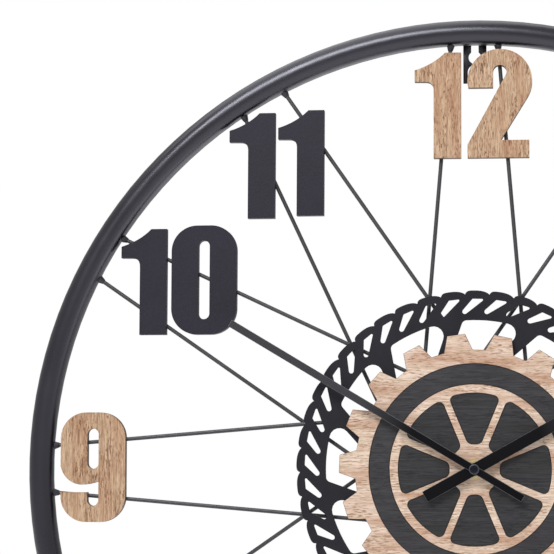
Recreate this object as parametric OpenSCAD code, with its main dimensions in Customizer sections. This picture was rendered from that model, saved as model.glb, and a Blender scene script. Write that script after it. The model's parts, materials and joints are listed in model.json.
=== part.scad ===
// Wall clock built like a spoked wheel: a tube rim, crossed wire spokes, cut numerals,
// a lobed rotor and a toothed plate in front of a quartz movement.
// X runs to the right, Z up and the wall is the plane Y = 0; the dial looks towards -Y.
// The origin is the seat of the wall screw at the top of the hanger's slot.

/* [Rim] */
// Outer diameter of the wheel
rim_d = 570; // [540:5:640]
// Diameter of the rim tube
tube_d = 16; // [13:0.5:18]
// Wall thickness of the rim tube
tube_wall = 1.2; // [0.8:0.1:2]
// Gap between the back of the rim and the wall, filled by the hanger plate
rim_lift = 1.5; // [1:0.1:2.5]

/* [Hanger] */
// Width of the hanger plate
hanger_w = 14.8; // [13:0.1:18]
// Length of the hanger plate
hanger_l = 31; // [29:0.5:36]
// Width of the slot that takes the screw
slot_w = 4.7; // [4.2:0.1:5.5]
// Diameter of the hole that the screw head goes through
head_hole_d = 8; // [7:0.1:9]
// Width of the neck under that hole
neck_w = 3.4; // [2.5:0.1:4]
// Width of the open end below the neck
fork_w = 9.1; // [8:0.1:10]

/* [Spokes] */
// Diameter of a spoke
spoke_d = 2.5; // [1.8:0.1:3]
// Radius of the circle that every spoke is tangent to
tangent_r = 37.2; // [34:0.2:40]
// Angle between a spoke's outer end and its hour
spoke_split = 3.2; // [2.6:0.1:3.8]
// Spread of the weld bead round a spoke's outer end
weld_leg = 1.6; // [1:0.1:2]
// Length of that bead along the spoke
weld_l = 3; // [2:0.1:5]

/* [Numerals] */
// Height of a digit
digit_h = 69.6; // [60:0.1:72]
// Width of a digit
digit_w = 42; // [36:0.5:44]
// Thickness of a digit
digit_t = 5; // [4:0.5:7]
// Width of the narrow openings in a digit
counter_w = 7.3; // [6:0.1:9]
// Gap between the two digits of a numeral
digit_gap = 3.2; // [2:0.1:4]
// How much higher the second digit of 11 sits
eleven_lift = 1.4; // [0:0.1:3]

/* [Hub] */
// Diameter of the steel hub flange
flange_d = 104; // [101:1:110]
// Thickness of the hub flange
flange_t = 2; // [1.5:0.1:2.5]
// Thickness of the rotor sheet
rotor_t = 1.5; // [1:0.1:2.5]
// Distance of the hub screws from the dial's centre
screw_r = 32.5; // [32:0.1:34]
// Diameter of a hub screw
screw_d = 2.9; // [2.5:0.1:3.2]

/* [Rotor] */
// Diameter over the crests of the lobes
rotor_d = 223.6; // [222:1:236]
// Number of lobes
lobe_count = 45; // [40:1:48]
// Width of the lobed band outside the windows
band_w = 18.6; // [17:0.1:20]
// Radial height of a window
window_h = 29.6; // [25:0.1:33]
// Number of windows
window_count = 12; // [10:1:12]
// Large corner radius of a window
window_big_r = 6.3; // [4:0.1:8]
// Small corner radius of a window
window_small_r = 3.2; // [2:0.1:4]

/* [Toothed plate] */
// Radius to the tips of the teeth
tip_r = 84.6; // [82:0.1:90]
// Radius to the floor between the teeth
root_r = 74.6; // [72:0.1:78]
// Number of teeth
tooth_count = 18; // [15:1:20]
// Thickness of the plate
plate_t = 5; // [4.5:0.5:7]
// Outer radius of the dark ring
ring_out_r = 65.8; // [63:0.1:69]
// Inner radius of the dark ring
ring_in_r = 53.1; // [52:0.1:58]
// Outer radius of the dark wedges
wedge_out_r = 47.5; // [46:0.1:50]
// Inner radius of the dark wedges
wedge_in_r = 15.8; // [15:0.1:20]
// Number of wedges
wedge_count = 8; // [6:1:9]
// Width of the wood between two wedges
wood_spoke_w = 4.8; // [4:0.1:7]
// Depth of the dark inlays
inlay_t = 0.8; // [0.5:0.1:1.4]

/* [Hands] */
// Length of the minute hand from the axis
minute_l = 177.8; // [150:1:190]
// Width of the minute hand
minute_w = 4.7; // [4.2:0.1:7]
// Length of the hour hand from the axis
hour_l = 130; // [100:1:150]
// Width of the hour hand
hour_w = 7.2; // [6.2:0.1:10]
// Length of the tail of both hands
tail_l = 35; // [25:1:45]
// Thickness of both hands
hand_t = 0.8; // [0.6:0.1:1]
// Angle of the minute hand as set, clockwise from the top
minute_angle = 300.9; // [0:0.5:360]
// Angle of the hour hand as set, clockwise from the top
hour_angle = 60.8; // [0:0.1:360]

/* [Movement] */
// Width and height of the movement
move_w = 56; // [56:0.5:58]
// Depth of the movement
move_d = 16; // [16:0.5:18]
// Wall of the movement's case
case_wall = 1.5; // [1.2:0.1:1.6]
// Thickness of its front and its cover
case_floor = 1.2; // [1:0.1:1.4]
// Diameter of the threaded neck
neck_d = 8; // [7.6:0.1:9]
// Module of the wheels that drive the third wheel
centre_module = 0.25; // [0.24:0.005:0.26]
// Module of the wheels that turn the hour wheel from the minute arbor
motion_module = 0.3; // [0.28:0.005:0.31]

/* [Hidden] */
$fn = 64;
// Overrun of every cut
over = 1;
// Straight steps round each corner of the rotor's openings
arc_steps = 6;
// Gap at seats that touch without pressing
seat_gap = 0.05;
// Radial gap of a turning fit
run_gap = 0.05;
// Gap of a screw or shaft that passes through a hole
pass_gap = 0.15;
// Gap round a piece let into another
let_gap = 0.05;

// Rim and hanger
tube_r = tube_d / 2;
rim_r = rim_d / 2 - tube_r;
rim_in_r = rim_r - tube_r;
rim_y = -(rim_lift + tube_r);
// Height of the slot's end above the dial's centre
hang_z = rim_in_r + slot_w / 2 - 0.15 * slot_w;
// Height of the hanger's parts, as shares of its length down from the slot's end
hole_share = 0.26;
fork_share = 0.56;
hanger_top_share = 0.2;
weld_share = 1.1;
weld_reach_share = 0.75;

// Spoke geometry: the places where a spoke meets the rim and the flange
spoke_r = spoke_d / 2;
hour_step = 30;
rim_reach = sqrt(rim_in_r * rim_in_r - tangent_r * tangent_r);
flange_r = flange_d / 2;
flange_reach = sqrt(flange_r * flange_r - tangent_r * tangent_r);
// Share of the flange's reach at which a spoke ends
spoke_end_share = 0.84;
spoke_end = spoke_end_share * flange_reach;

// Depths of the stack at the hub, from the wall towards the viewer
wall_gap = 1;
gasket_t = 1;
gasket_r = 14;
washer_t = 0.8;
washer_r = 5.8;
nut_t = 2.5;
nut_w = 10;
move_back = -wall_gap;
move_front = move_back - move_d;
flange_back = move_front - gasket_t;
flange_front = flange_back - flange_t;
// Gap between the front spokes and the rotor
rotor_gap = 0.6;
rotor_back = flange_front - spoke_d - seat_gap - rotor_gap;
rotor_front = rotor_back - rotor_t;
plate_front = rotor_front - plate_t;
washer_front = plate_front - washer_t;
nut_front = washer_front - nut_t;
// Length of neck that stands out of the nut
neck_proud = 0.6;
neck_end = nut_front - neck_proud;
hour_gap = 0.7;
hour_back = neck_end - hour_gap;
hour_front = hour_back - hand_t;
minute_gap = 1.2;
minute_back = hour_front - minute_gap;
minute_front = minute_back - hand_t;
cap_r = 3.2;
cap_h = 3;
cap_grip_share = 0.5;
front_spoke_y = flange_front - spoke_r - seat_gap;
back_spoke_y = flange_back + spoke_r + seat_gap;

// Numerals
rod_groove = 0.12;
weld_lip = 0.3;
one_w = 0.7 * digit_w;
one_h = 0.972 * digit_h;
ten_gaps = [digit_gap, 0.6 * digit_gap, 1.28 * digit_gap];
digit_r = 0.393 * digit_w;
bar_h = 0.148 * digit_h;
// Centres of the numerals 1 to 12, as shares of the rim's inner radius
numeral_shares = [[0.42, 0.725], [0.755, 0.439], [0.902, 0.003], [0.747, -0.428], [0.428, -0.732],
    [0, -0.859], [-0.428, -0.732], [-0.755, -0.435], [-0.902, 0.004], [-0.699, 0.446],
    [-0.467, 0.72], [0, 0.858]];
numeral_digits = [[1], [2], [3], [4], [5], [6], [7], [8], [9], [1, 0], [1, 1], [1, 2]];
// Outline points of the digits, as shares of a digit's width and height
one_top_shares = [[0, 0.812], [0.279, 0.862], [0.461, 0.972]];
one_foot_shares = [[0.288, 0.626], [0.288, 0.704], [0.167, 0.7055], [0, 0.707]];
four_shares = [[0, 0.35], [0, 0.2], [0.53, 0.2], [0.53, 0], [0.9, 0], [0.9, 0.2], [1, 0.2],
    [1, 0.35], [0.9, 0.35], [0.9, 1], [0.47, 1]];
four_hole_shares = [[0.27, 0.35], [0.53, 0.35], [0.53, 0.75]];
seven_shares = [[0.02, 1], [0.02, 0.83], [0.6, 0.83], [0.19, 0], [0.6, 0], [0.98, 0.83], [0.98, 1]];

// Rotor
rotor_r = rotor_d / 2;
lobe_step = 360 / lobe_count;
lobe_start = -3;
// Shape of a lobe: shares of its step against shares of its rise
lobe_rise = 2.3;
lobe_shares = [[0, 0], [0.025, 0.38], [0.06, 0.64], [0.11, 0.84], [0.18, 0.96], [0.27, 1], [0.4, 1],
    [0.52, 0.98], [0.64, 0.91], [0.75, 0.78], [0.85, 0.58], [0.93, 0.33]];
// Ends of a slot, in from the crests and as shares of the lobe's step
slot_out_in = 5.2;
slot_foot_in = 14.6;
slot_out_r = rotor_r - slot_out_in;
slot_in_r = rotor_r - slot_foot_in;
slot_lead_share = 0.32;
slot_trail_share = 0.69;
slot_foot_share = -0.06;
slot_corner_r = 0.7;
slot_foot_r = 1.55;
window_step = 360 / window_count;
window_start = -24;
window_out_r = rotor_r - band_w;
window_in_r = window_out_r - window_h;
// Angles of a window's corners, as shares of the window's step
window_out_shares = [-0.303, 0.23];
window_in_shares = [-0.65, -0.075];
window_foot_r = 2;

// Toothed plate
tooth_step = 360 / tooth_count;
tooth_start = 12.3;
// Half widths of a tooth at its tip and root, as shares of the tooth's step
tooth_tip_share = 0.19;
tooth_root_share = 0.342;
wedge_corner_r = 3.2;
wedge_tip_r = 4;
neck_r = neck_d / 2;
screw_pass_r = screw_d / 2 + pass_gap;
screw_hold_r = screw_d / 2 + let_gap;
screw_head_r = 2.8;
screw_head_t = 1.7;
screw_grip_share = 0.7;
spacer_r = 2.7;

// Movement: radii on the axis, from the inside out
minute_arbor_r = 1.6;
hour_tube_r = 2.55;
pivot_r = 0.4;
arbor_r = 0.7;
seconds_depth = 2;
hour_bore_r = minute_arbor_r + run_gap;
neck_bore_r = hour_tube_r + run_gap;
case_in = move_w / 2 - case_wall;
case_corner_r = 3;
floor_y = move_front + case_floor;
cover_y = move_back - case_floor;
// Height of the wall between the wheels and the battery bay
bay_w = 14.6;
bay_top = -case_in + bay_w;
bay_wall_top = bay_top + case_wall;
// Levels of the wheels, counted from the front wall
wheel_t = 1;
level_step = 1.5;
level_gap = 0.5;
train_t = 1;
train_y = level(6) + level_gap + train_t;
post_r = 2;
pin_r = 0.9;

// Teeth, with a short addendum and a pressure angle that suits small pinions
pressure = 25;
addendum_share = 0.7;
dedendum_share = 0.95;
backlash_share = 0.16;
hour_teeth = 40;
motion_pinion = 10;
motion_teeth = 36;
cannon_teeth = 12;
setting_teeth = 20;
centre_teeth = 64;
third_pinion = 8;
third_teeth = 60;
seconds_pinion = 8;
seconds_teeth = 60;
drive_pinion = 10;
drive_teeth = 60;
rotor_pinion = 12;
motion_cd = (motion_teeth + cannon_teeth) / 2 * motion_module;
hour_module = 2 * motion_cd / (hour_teeth + motion_pinion);
third_cd = (centre_teeth + third_pinion) / 2 * centre_module;
third_module = 2 * third_cd / (third_teeth + seconds_pinion);
seconds_module = 1.04 * centre_module;
drive_cd = (seconds_teeth + drive_pinion) / 2 * seconds_module;
drive_module = 0.72 * centre_module;
rotor_cd = (drive_teeth + rotor_pinion) / 2 * drive_module;
setting_cd = (motion_teeth + setting_teeth) / 2 * motion_module;
// Directions from one arbor to the next, anticlockwise from +X
motion_dir = -20;
setting_dir = 20;
third_dir = 150;
drive_dir = 50;
rotor_dir = 100;
motion_at = motion_cd * [cos(motion_dir), sin(motion_dir)];
setting_at = motion_at + setting_cd * [cos(setting_dir), sin(setting_dir)];
third_at = third_cd * [cos(third_dir), sin(third_dir)];
drive_at = drive_cd * [cos(drive_dir), sin(drive_dir)];
rotor_at = drive_at + rotor_cd * [cos(rotor_dir), sin(rotor_dir)];
// Turn of each toothed rim at rest that puts it in mesh with its neighbour
motion_phase = mate(motion_dir, 0, cannon_teeth, motion_teeth);
hour_phase = mate(motion_dir + 180, motion_phase, motion_pinion, hour_teeth);
setting_phase = mate(setting_dir, motion_phase, motion_teeth, setting_teeth);
third_phase = mate(third_dir, 0, centre_teeth, third_pinion);
seconds_phase = mate(third_dir + 180, third_phase, third_teeth, seconds_pinion);
drive_phase = mate(drive_dir, seconds_phase, seconds_teeth, drive_pinion);
rotor_phase = mate(rotor_dir, drive_phase, drive_teeth, rotor_pinion);

// Small parts of the movement
magnet_r = 3;
magnet_l = 2.8;
stator_t = 1;
stator_y = level(2) + 0.1 * wheel_t;
stator_gap = 0.4;
stator_band = 2.2;
core_w = 2;
coil_r = 2.5;
coil_flange_t = 0.8;
knob_r = 5.5;
knob_t = 1.8;
knob_cup_r = 6.5;
knob_cup_d = 2.2;
knob_shaft_r = 1;
knob_notches = 24;
board_t = 0.8;
crystal_r = 0.8;
contact_t = 0.4;

// A point at radius r and a clockwise angle from the top
function pol(r, a) = [r * sin(a), r * cos(a)];
// Back face of the wheel on a level counted from the front wall
function level(n) = floor_y + level_gap + wheel_t + (n - 1) * level_step;
// Turn of a wheel that meshes with one already placed in the direction dir
function mate(dir, phase, teeth, mate_teeth) =
    dir + 180 - 180 / mate_teeth + (dir - phase) * teeth / mate_teeth;
function involute(a) = tan(a) - a * PI / 180;
// Half of a tooth's angle at radius r
function half_tooth(r, base_r, pitch_half) =
    pitch_half + (involute(pressure) - involute(r > base_r ? acos(base_r / r) : 0)) * 180 / PI;
// Depth of a spoke's centre line at a distance from its tangent point: a front spoke rests on
// the flange's edge and a back spoke on the flange at its own inner end
function spoke_y(reach, side) =
    let (hub_y = side > 0 ? front_spoke_y : back_spoke_y,
        hub_reach = side > 0 ? flange_reach : spoke_end)
    rim_y + (hub_y - rim_y) * (rim_reach - reach) / (rim_reach - hub_reach);
// A point on the spoke of an hour; side is 1 to the right of the hour and -1 to the left
function spoke_point(hour, side, reach) =
    let (rim_a = hour * hour_step + side * spoke_split,
        tangent_a = rim_a + side * acos(tangent_r / rim_in_r),
        foot = pol(tangent_r, tangent_a),
        way = (pol(rim_in_r, rim_a) - foot) / rim_reach,
        p = foot + reach * way)
    [p[0], spoke_y(reach, side), p[1]];
// The two points where a line touches the circles [x, y, r] of neighbouring corners
function corner_line(a, b) =
    let (d = [b[0] - a[0], b[1] - a[1]],
        n = atan2(d[1], d[0]) - acos((a[2] - b[2]) / norm(d)),
        u = [cos(n), sin(n)])
    [[a[0], a[1]] + a[2] * u, [b[0], b[1]] + b[2] * u];
function corner(p, r) = [p[0], p[1], r];
// Direction in which the side between two neighbouring corners faces
function side_angle(a, b) =
    atan2(b[1] - a[1], b[0] - a[0]) - acos((a[2] - b[2]) / norm([b[0] - a[0], b[1] - a[1]]));
// Points round a corner, anticlockwise from one direction to another
function arc_points(c, from, to) =
    let (turn = (to - from) - 360 * floor((to - from) / 360))
    [for (k = [0:arc_steps]) let (t = from + turn * k / arc_steps)
        [c[0] + c[2] * cos(t), c[1] + c[2] * sin(t)]];

// Moves what is drawn about the dial's centre to the part's own frame
module dial() {
    translate([0, 0, -hang_z]) children();
}

// Stands a flat outline upright, from a back face towards the viewer
module slab(back, thick) {
    translate([0, back, 0]) rotate([90, 0, 0]) linear_extrude(thick) children();
}

// A round bar along the dial's axis direction at a place on the dial
module bar(at, back, front, r) {
    translate([at[0], back, at[1]]) rotate([90, 0, 0]) cylinder(h = back - front, r = r);
}

// A round or tapered bar from one point to another
module rod(p, q, r_p, r_q) {
    d = q - p;
    translate(p) rotate([0, acos(d[2] / norm(d)), atan2(d[1], d[0])])
        cylinder(h = norm(d), r1 = r_p, r2 = r_q);
}

// A convex outline with a circle at each corner, listed anticlockwise as [x, y, r]
module rounded(corners) {
    last = len(corners) - 1;
    polygon([for (i = [0:last]) each corner_line(corners[i], corners[i == last ? 0 : i + 1])]);
    for (c = corners) {
        if (c[2] > 0) translate([c[0], c[1]]) circle(c[2]);
    }
}

// A rounded outline whose side between its last two corners follows a circle about the centre
module rounded_to_arc(corners, arc_r) {
    right = [corners[2][0], corners[2][1]];
    left = [corners[3][0], corners[3][1]];
    rounded(corners);
    intersection() {
        circle(arc_r);
        polygon([left, right, 2 * right, 2 * left]);
    }
}

// An upright rounded rectangle
module rounded_box(x0, x1, z0, z1, r) {
    rounded([[x0 + r, z0 + r, r], [x1 - r, z0 + r, r], [x1 - r, z1 - r, r], [x0 + r, z1 - r, r]]);
}

module ring(out_r, in_r) {
    difference() {
        circle(out_r);
        circle(in_r);
    }
}

module tube_solid(r) {
    translate([0, rim_y, 0]) rotate([90, 0, 0]) rotate_extrude() translate([rim_r, 0]) circle(r);
}

module rim_tube() {
    color("#2c2c30") dial() difference() {
        tube_solid(tube_r);
        tube_solid(tube_r - tube_wall);
    }
}

// Flat outline of the hanger, from the slot's end down
module hanger_outline() {
    hole = [0, -hole_share * hanger_l];
    fork = [0, -fork_share * hanger_l];
    difference() {
        translate([-hanger_w / 2, -(1 - hanger_top_share) * hanger_l]) square([hanger_w, hanger_l]);
        translate([-slot_w / 2, hole[1]]) square([slot_w, -hole[1]]);
        circle(slot_w / 2);
        translate(hole) circle(head_hole_d / 2);
        translate([-neck_w / 2, fork[1]]) square([neck_w, hole[1] - fork[1]]);
        translate(fork) circle(fork_w / 2);
        translate([-fork_w / 2, fork[1] - hanger_l]) square([fork_w, hanger_l]);
    }
}

module hanger_plate() {
    color("#1f1f22") slab(0, rim_lift) hanger_outline();
}

// The weld between the hanger plate and the underside of the tube
module rim_weld() {
    reach = weld_reach_share * tube_r;
    half = weld_share * hanger_w / rim_r * 90 / PI;
    color("#26262a") dial() translate([0, -rim_lift, 0]) rotate([90, 0, 0]) rotate(90 - half)
        rotate_extrude(angle = 2 * half) difference() {
            polygon([[rim_r, 0], [rim_r - reach, 0], [rim_r - 0.8 * reach, 0.42 * reach]]);
            translate([rim_r, tube_r]) circle(tube_r + let_gap);
        }
}

// One spoke, or the space round it when grown
module spoke(hour, side, grow) {
    inner = spoke_point(hour, side, spoke_end - grow);
    outer = spoke_point(hour, side, rim_reach + spoke_r);
    rod(inner, outer, spoke_r + grow, spoke_r + grow);
}

// The weld bead round the outer end of a spoke, or the space round it when grown
module weld_bead(hour, side, grow) {
    inner = spoke_point(hour, side, rim_reach - weld_l - grow);
    outer = spoke_point(hour, side, rim_reach + spoke_r);
    rod(inner, outer, spoke_r + weld_lip + grow, spoke_r + weld_leg + grow);
}

// A straight length of the rim tube where a spoke meets it, a seat's gap larger
module rim_stub(hour, side) {
    p = pol(rim_r, hour * hour_step + side * spoke_split);
    translate([p[0], rim_y, p[1]]) rotate([0, hour * hour_step + side * spoke_split + 90, 0])
        cylinder(h = 2 * tube_d, r = tube_r + seat_gap, center = true);
}

// The two spokes that cross halfway between an hour and the next
module spoke_pair(hour) {
    color("#34343a") dial() {
        difference() {
            spoke(hour, 1, 0);
            rim_stub(hour, 1);
        }
        difference() {
            spoke(hour + 1, -1, 0);
            rim_stub(hour + 1, -1);
        }
    }
}

module spoke_welds() {
    color("#202024") dial() for (hour = [1:12], side = [-1, 1]) {
        difference() {
            weld_bead(hour, side, 0);
            spoke(hour, side, run_gap);
            rim_stub(hour, side);
        }
    }
}

function digit_point(s) = [s[0] * digit_w, s[1] * digit_h];

module upright_slot(z0, z1) {
    c = digit_w / 2;
    rounded_box(c - counter_w / 2, c + counter_w / 2, z0, z1, 0.499 * counter_w);
}

module digit_one() {
    function bend(p, n) = [for (i = [0:n]) let (t = i / n)
        digit_point((1 - t) * (1 - t) * p[0] + 2 * t * (1 - t) * p[1] + t * t * p[2])];
    top = one_top_shares;
    foot = one_foot_shares;
    polygon(concat([[one_w - 0.412 * digit_w, 0], [one_w, 0], [one_w, one_h]],
        bend([top[2], top[1], top[0]], 8), [digit_point(foot[3])],
        bend([foot[2], foot[1], foot[0]], 8)));
}

module digit_two() {
    bowl_r = 0.486 * digit_w;
    bowl = [bowl_r, digit_h - bowl_r];
    eye_r = 0.59 * counter_w;
    eye = [bowl_r, digit_h - bar_h - eye_r];
    hook_x = eye[0] - eye_r;
    hook_z = 0.645 * digit_h;
    foot_w = 0.924 * digit_w;
    heel = [0, 0.12 * digit_h];
    throat = [0.5 * digit_w, 1.08 * bar_h];
    outer = corner_line(corner(throat, 0), corner(bowl, bowl_r));
    inner = corner_line(corner(eye, -eye_r), corner(heel, 0));
    difference() {
        translate(bowl) circle(bowl_r);
        translate(eye) circle(eye_r);
        polygon([eye, [hook_x, eye[1]], [hook_x, hook_z], [-over, hook_z], [-over, heel[1]], heel, inner[0]]);
    }
    difference() {
        polygon([heel, [0, 0], [foot_w, 0], [foot_w, throat[1]], throat, outer[1], eye, inner[0]]);
        translate(eye) circle(eye_r);
    }
}

module digit_zero() {
    difference() {
        rounded_box(0, digit_w, 0, digit_h, digit_r);
        upright_slot(0.94 * bar_h, digit_h - 0.94 * bar_h);
    }
}

// Two stacked bowls, the outer shape of the 3 and the 8
module two_bowls() {
    lower = 0.56 * digit_h;
    rounded_box(0, digit_w, 0, lower, digit_r);
    rounded_box(0.02 * digit_w, 0.98 * digit_w, 0.46 * digit_h, digit_h, digit_r);
}

module digit_three() {
    mouth = (digit_w - counter_w) / 2;
    difference() {
        two_bowls();
        upright_slot(bar_h, 0.42 * digit_h);
        upright_slot(0.6 * digit_h, digit_h - bar_h);
        translate([-over, 0.3 * digit_h]) square([mouth + over, 0.42 * digit_h]);
        translate([mouth - over, 0.3 * digit_h]) square([counter_w / 2 + over, 0.1 * digit_h]);
        translate([mouth - over, 0.62 * digit_h]) square([counter_w / 2 + over, 0.1 * digit_h]);
    }
}

module digit_four() {
    difference() {
        polygon([for (s = four_shares) digit_point(s)]);
        polygon([for (s = four_hole_shares) digit_point(s)]);
    }
}

module digit_five() {
    side = (digit_w - counter_w) / 2;
    bowl_top = 0.66 * digit_h;
    difference() {
        union() {
            rounded_box(0, digit_w, 0, bowl_top, digit_r);
            translate([0.04 * digit_w, 0.44 * digit_h]) square([side - 0.04 * digit_w, 0.56 * digit_h]);
            translate([0.04 * digit_w, digit_h - 1.1 * bar_h]) square([0.9 * digit_w, 1.1 * bar_h]);
        }
        upright_slot(bar_h, bowl_top - bar_h);
        translate([-over, 0.28 * digit_h]) square([side + over, 0.16 * digit_h]);
        translate([side - over, 0.28 * digit_h]) square([counter_w / 2 + over, 0.16 * digit_h]);
    }
}

module digit_seven() {
    polygon([for (s = seven_shares) digit_point(s)]);
}

module digit_eight() {
    difference() {
        two_bowls();
        upright_slot(bar_h, 0.43 * digit_h);
        upright_slot(0.6 * digit_h, digit_h - bar_h);
    }
}

module digit_nine() {
    stem_x = (digit_w + counter_w) / 2;
    tail_z = 0.272 * digit_h;
    bowl_z = 0.34 * digit_h;
    bowl_r = 0.333 * digit_w;
    under_x = 0.3 * digit_w;
    under_r = 0.78 * digit_w;
    difference() {
        union() {
            difference() {
                rounded_box(0, digit_w, 0, digit_h, digit_r);
                translate([-over, tail_z]) square([stem_x + over, digit_h / 2 - tail_z]);
            }
            rounded_box(0, 0.73 * digit_w, bowl_z, digit_h - digit_r, bowl_r);
        }
        upright_slot(0.485 * digit_h, digit_h - bar_h);
        upright_slot(bar_h, tail_z + counter_w / 2);
        difference() {
            translate([under_x, tail_z]) square([stem_x - under_x, digit_h / 2 - tail_z]);
            translate([under_x, bowl_z + under_r]) circle(under_r);
        }
    }
}

module digit(value) {
    if (value == 0) digit_zero();
    if (value == 1) digit_one();
    if (value == 2) digit_two();
    if (value == 3) digit_three();
    if (value == 4) digit_four();
    if (value == 5) digit_five();
    if (value == 6) translate([digit_w, digit_h]) rotate(180) digit_nine();
    if (value == 7) digit_seven();
    if (value == 8) digit_eight();
    if (value == 9) digit_nine();
}

function digit_width(value) = value == 1 ? one_w : digit_w;

// The digits of an hour side by side, centred on the numeral's place
module numeral_outline(hour) {
    digits = numeral_digits[hour - 1];
    widths = [for (d = digits) digit_width(d)];
    second_x = widths[0] + (hour < 10 ? 0 : ten_gaps[hour - 10]);
    total = len(digits) == 1 ? widths[0] : second_x + widths[1];
    lift = hour == 11 ? eleven_lift : 0;
    translate([-total / 2, -digit_h / 2]) {
        digit(digits[0]);
        if (len(digits) > 1) translate([second_x, lift]) digit(digits[1]);
    }
}

// A numeral lies on its two spokes, tilted as they are, with a groove for each
module numeral(hour, shade) {
    place = rim_in_r * numeral_shares[hour - 1];
    angle = hour * hour_step;
    reach = sqrt(place * place - tangent_r * tangent_r);
    mean_y = (spoke_y(reach, 1) + spoke_y(reach, -1)) / 2;
    slope = atan((mean_y - rim_y) / (rim_reach - reach));
    color(shade) dial() difference() {
        translate([place[0], mean_y, place[1]]) rotate([0, angle, 0]) rotate([slope, 0, 0])
            rotate([0, -angle, 0]) slab(0, digit_t) numeral_outline(hour);
        for (side = [-1, 1]) {
            spoke(hour, side, rod_groove);
            weld_bead(hour, side, rod_groove);
        }
    }
}

module screw_places() {
    for (a = [0:90:270]) {
        p = pol(screw_r, a);
        translate([p[0], 0, p[1]]) children();
    }
}

module screw_holes_flat(r) {
    for (a = [0:90:270]) translate(pol(screw_r, a)) circle(r);
}

module hub_flange() {
    color("#2c2c30") dial() slab(flange_back, flange_t) difference() {
        circle(flange_r);
        circle(neck_r + pass_gap);
        screw_holes_flat(screw_pass_r);
    }
}

module hub_spacers() {
    color("#3a3a3e") dial() screw_places() slab(flange_front, flange_front - rotor_back)
        ring(spacer_r, screw_pass_r);
}

module hub_screws() {
    end = rotor_front - screw_grip_share * plate_t;
    color("#6f6f74") dial() screw_places() {
        bar([0, 0], flange_back, end, screw_d / 2);
        difference() {
            bar([0, 0], flange_back + screw_head_t, flange_back, screw_head_r);
            translate([-screw_head_r - over, flange_back + screw_head_t / 2, -screw_d / 10])
                cube([2 * screw_head_r + 2 * over, screw_head_t, screw_d / 5]);
        }
    }
}

// Points of the rotor's edge: each lobe is steep on its left and falls away on its right
function lobe_points(i) = [for (p = lobe_shares)
    pol(rotor_r - lobe_rise * (1 - p[1]), lobe_start + (i + p[0]) * lobe_step)];

// One slanted slot, wide at the edge of the rotor and round at its foot
function slot_points() =
    let (foot = corner(pol(slot_in_r + slot_foot_r, slot_foot_share * lobe_step), slot_foot_r),
        right = corner(pol(slot_out_r - slot_corner_r, slot_trail_share * lobe_step), slot_corner_r),
        left = corner(pol(slot_out_r - slot_corner_r, slot_lead_share * lobe_step), slot_corner_r),
        foot_side = side_angle(foot, right),
        out_side = side_angle(right, left),
        lead_side = side_angle(left, foot))
    concat(arc_points(foot, lead_side, foot_side), arc_points(right, foot_side, out_side),
        arc_points(left, out_side, lead_side));

// One window between two slanted arms; its outer side follows a circle about the centre
function window_points() =
    let (in_r = window_in_r + window_foot_r,
        in_left = corner(pol(in_r, window_in_shares[0] * window_step), window_foot_r),
        in_right = corner(pol(in_r, window_in_shares[1] * window_step), window_foot_r),
        right_a = window_out_shares[1] * window_step,
        left_a = window_out_shares[0] * window_step,
        right = corner(pol(window_out_r - window_big_r, right_a), window_big_r),
        left = corner(pol(window_out_r - window_small_r, left_a), window_small_r),
        in_side = side_angle(in_left, in_right),
        right_side = side_angle(in_right, right),
        left_side = side_angle(left, in_left),
        outer = arc_points([0, 0, window_out_r], 90 - right_a, 90 - left_a))
    concat(arc_points(in_left, left_side, in_side), arc_points(in_right, in_side, right_side),
        arc_points(right, right_side, 90 - right_a), [for (k = [1:arc_steps - 1]) outer[k]],
        arc_points(left, 90 - left_a, left_side));

module rotor_disc() {
    color("#303035") dial() slab(rotor_back, rotor_t) difference() {
        polygon([for (i = [0:lobe_count - 1]) each lobe_points(i)]);
        for (i = [0:lobe_count - 1]) rotate(-(lobe_start + i * lobe_step)) polygon(slot_points());
        for (i = [0:window_count - 1])
            rotate(-(window_start + i * window_step)) polygon(window_points());
        circle(neck_r + pass_gap);
        screw_holes_flat(screw_pass_r);
    }
}

// One dark wedge, pointing up, or its pocket when grown
module wedge_outline(grow) {
    half = 180 / wedge_count;
    side = wood_spoke_w / 2;
    out_c = wedge_out_r - wedge_corner_r;
    out_a = half - asin((side + wedge_corner_r) / out_c);
    in_c = wedge_in_r + wedge_tip_r;
    in_a = half - asin((side + wedge_tip_r) / in_c);
    rounded_to_arc([corner(pol(in_c, -in_a), wedge_tip_r + grow),
        corner(pol(in_c, in_a), wedge_tip_r + grow),
        corner(pol(out_c, out_a), wedge_corner_r + grow),
        corner(pol(out_c, -out_a), wedge_corner_r + grow)], wedge_out_r + grow);
}

function tooth_points(i) = let (a = tooth_start + i * tooth_step)
    [pol(root_r, a - tooth_root_share * tooth_step), pol(tip_r, a - tooth_tip_share * tooth_step),
    pol(tip_r, a + tooth_tip_share * tooth_step), pol(root_r, a + tooth_root_share * tooth_step)];

module toothed_plate() {
    color("#cba27f") dial() difference() {
        slab(rotor_front, plate_t) polygon([for (i = [0:tooth_count - 1]) each tooth_points(i)]);
        slab(rotor_front + over, plate_t + 2 * over) circle(neck_r + pass_gap);
        slab(plate_front + inlay_t, inlay_t + over) {
            ring(ring_out_r + let_gap, ring_in_r - let_gap);
            for (i = [0:wedge_count - 1]) rotate(i * 360 / wedge_count) wedge_outline(let_gap);
        }
        screw_places() bar([0, 0], rotor_front + over,
            rotor_front - screw_grip_share * plate_t - let_gap, screw_hold_r);
    }
}

module ring_inlay() {
    color("#38373c") dial() slab(plate_front + inlay_t, inlay_t) ring(ring_out_r, ring_in_r);
}

module wedge_inlays() {
    color("#38373c") dial() slab(plate_front + inlay_t, inlay_t)
        for (i = [0:wedge_count - 1]) rotate(i * 360 / wedge_count) wedge_outline(0);
}

module movement_gasket() {
    color("#1b1b1d") dial() slab(move_front, gasket_t) ring(gasket_r, neck_r + pass_gap);
}

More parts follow.
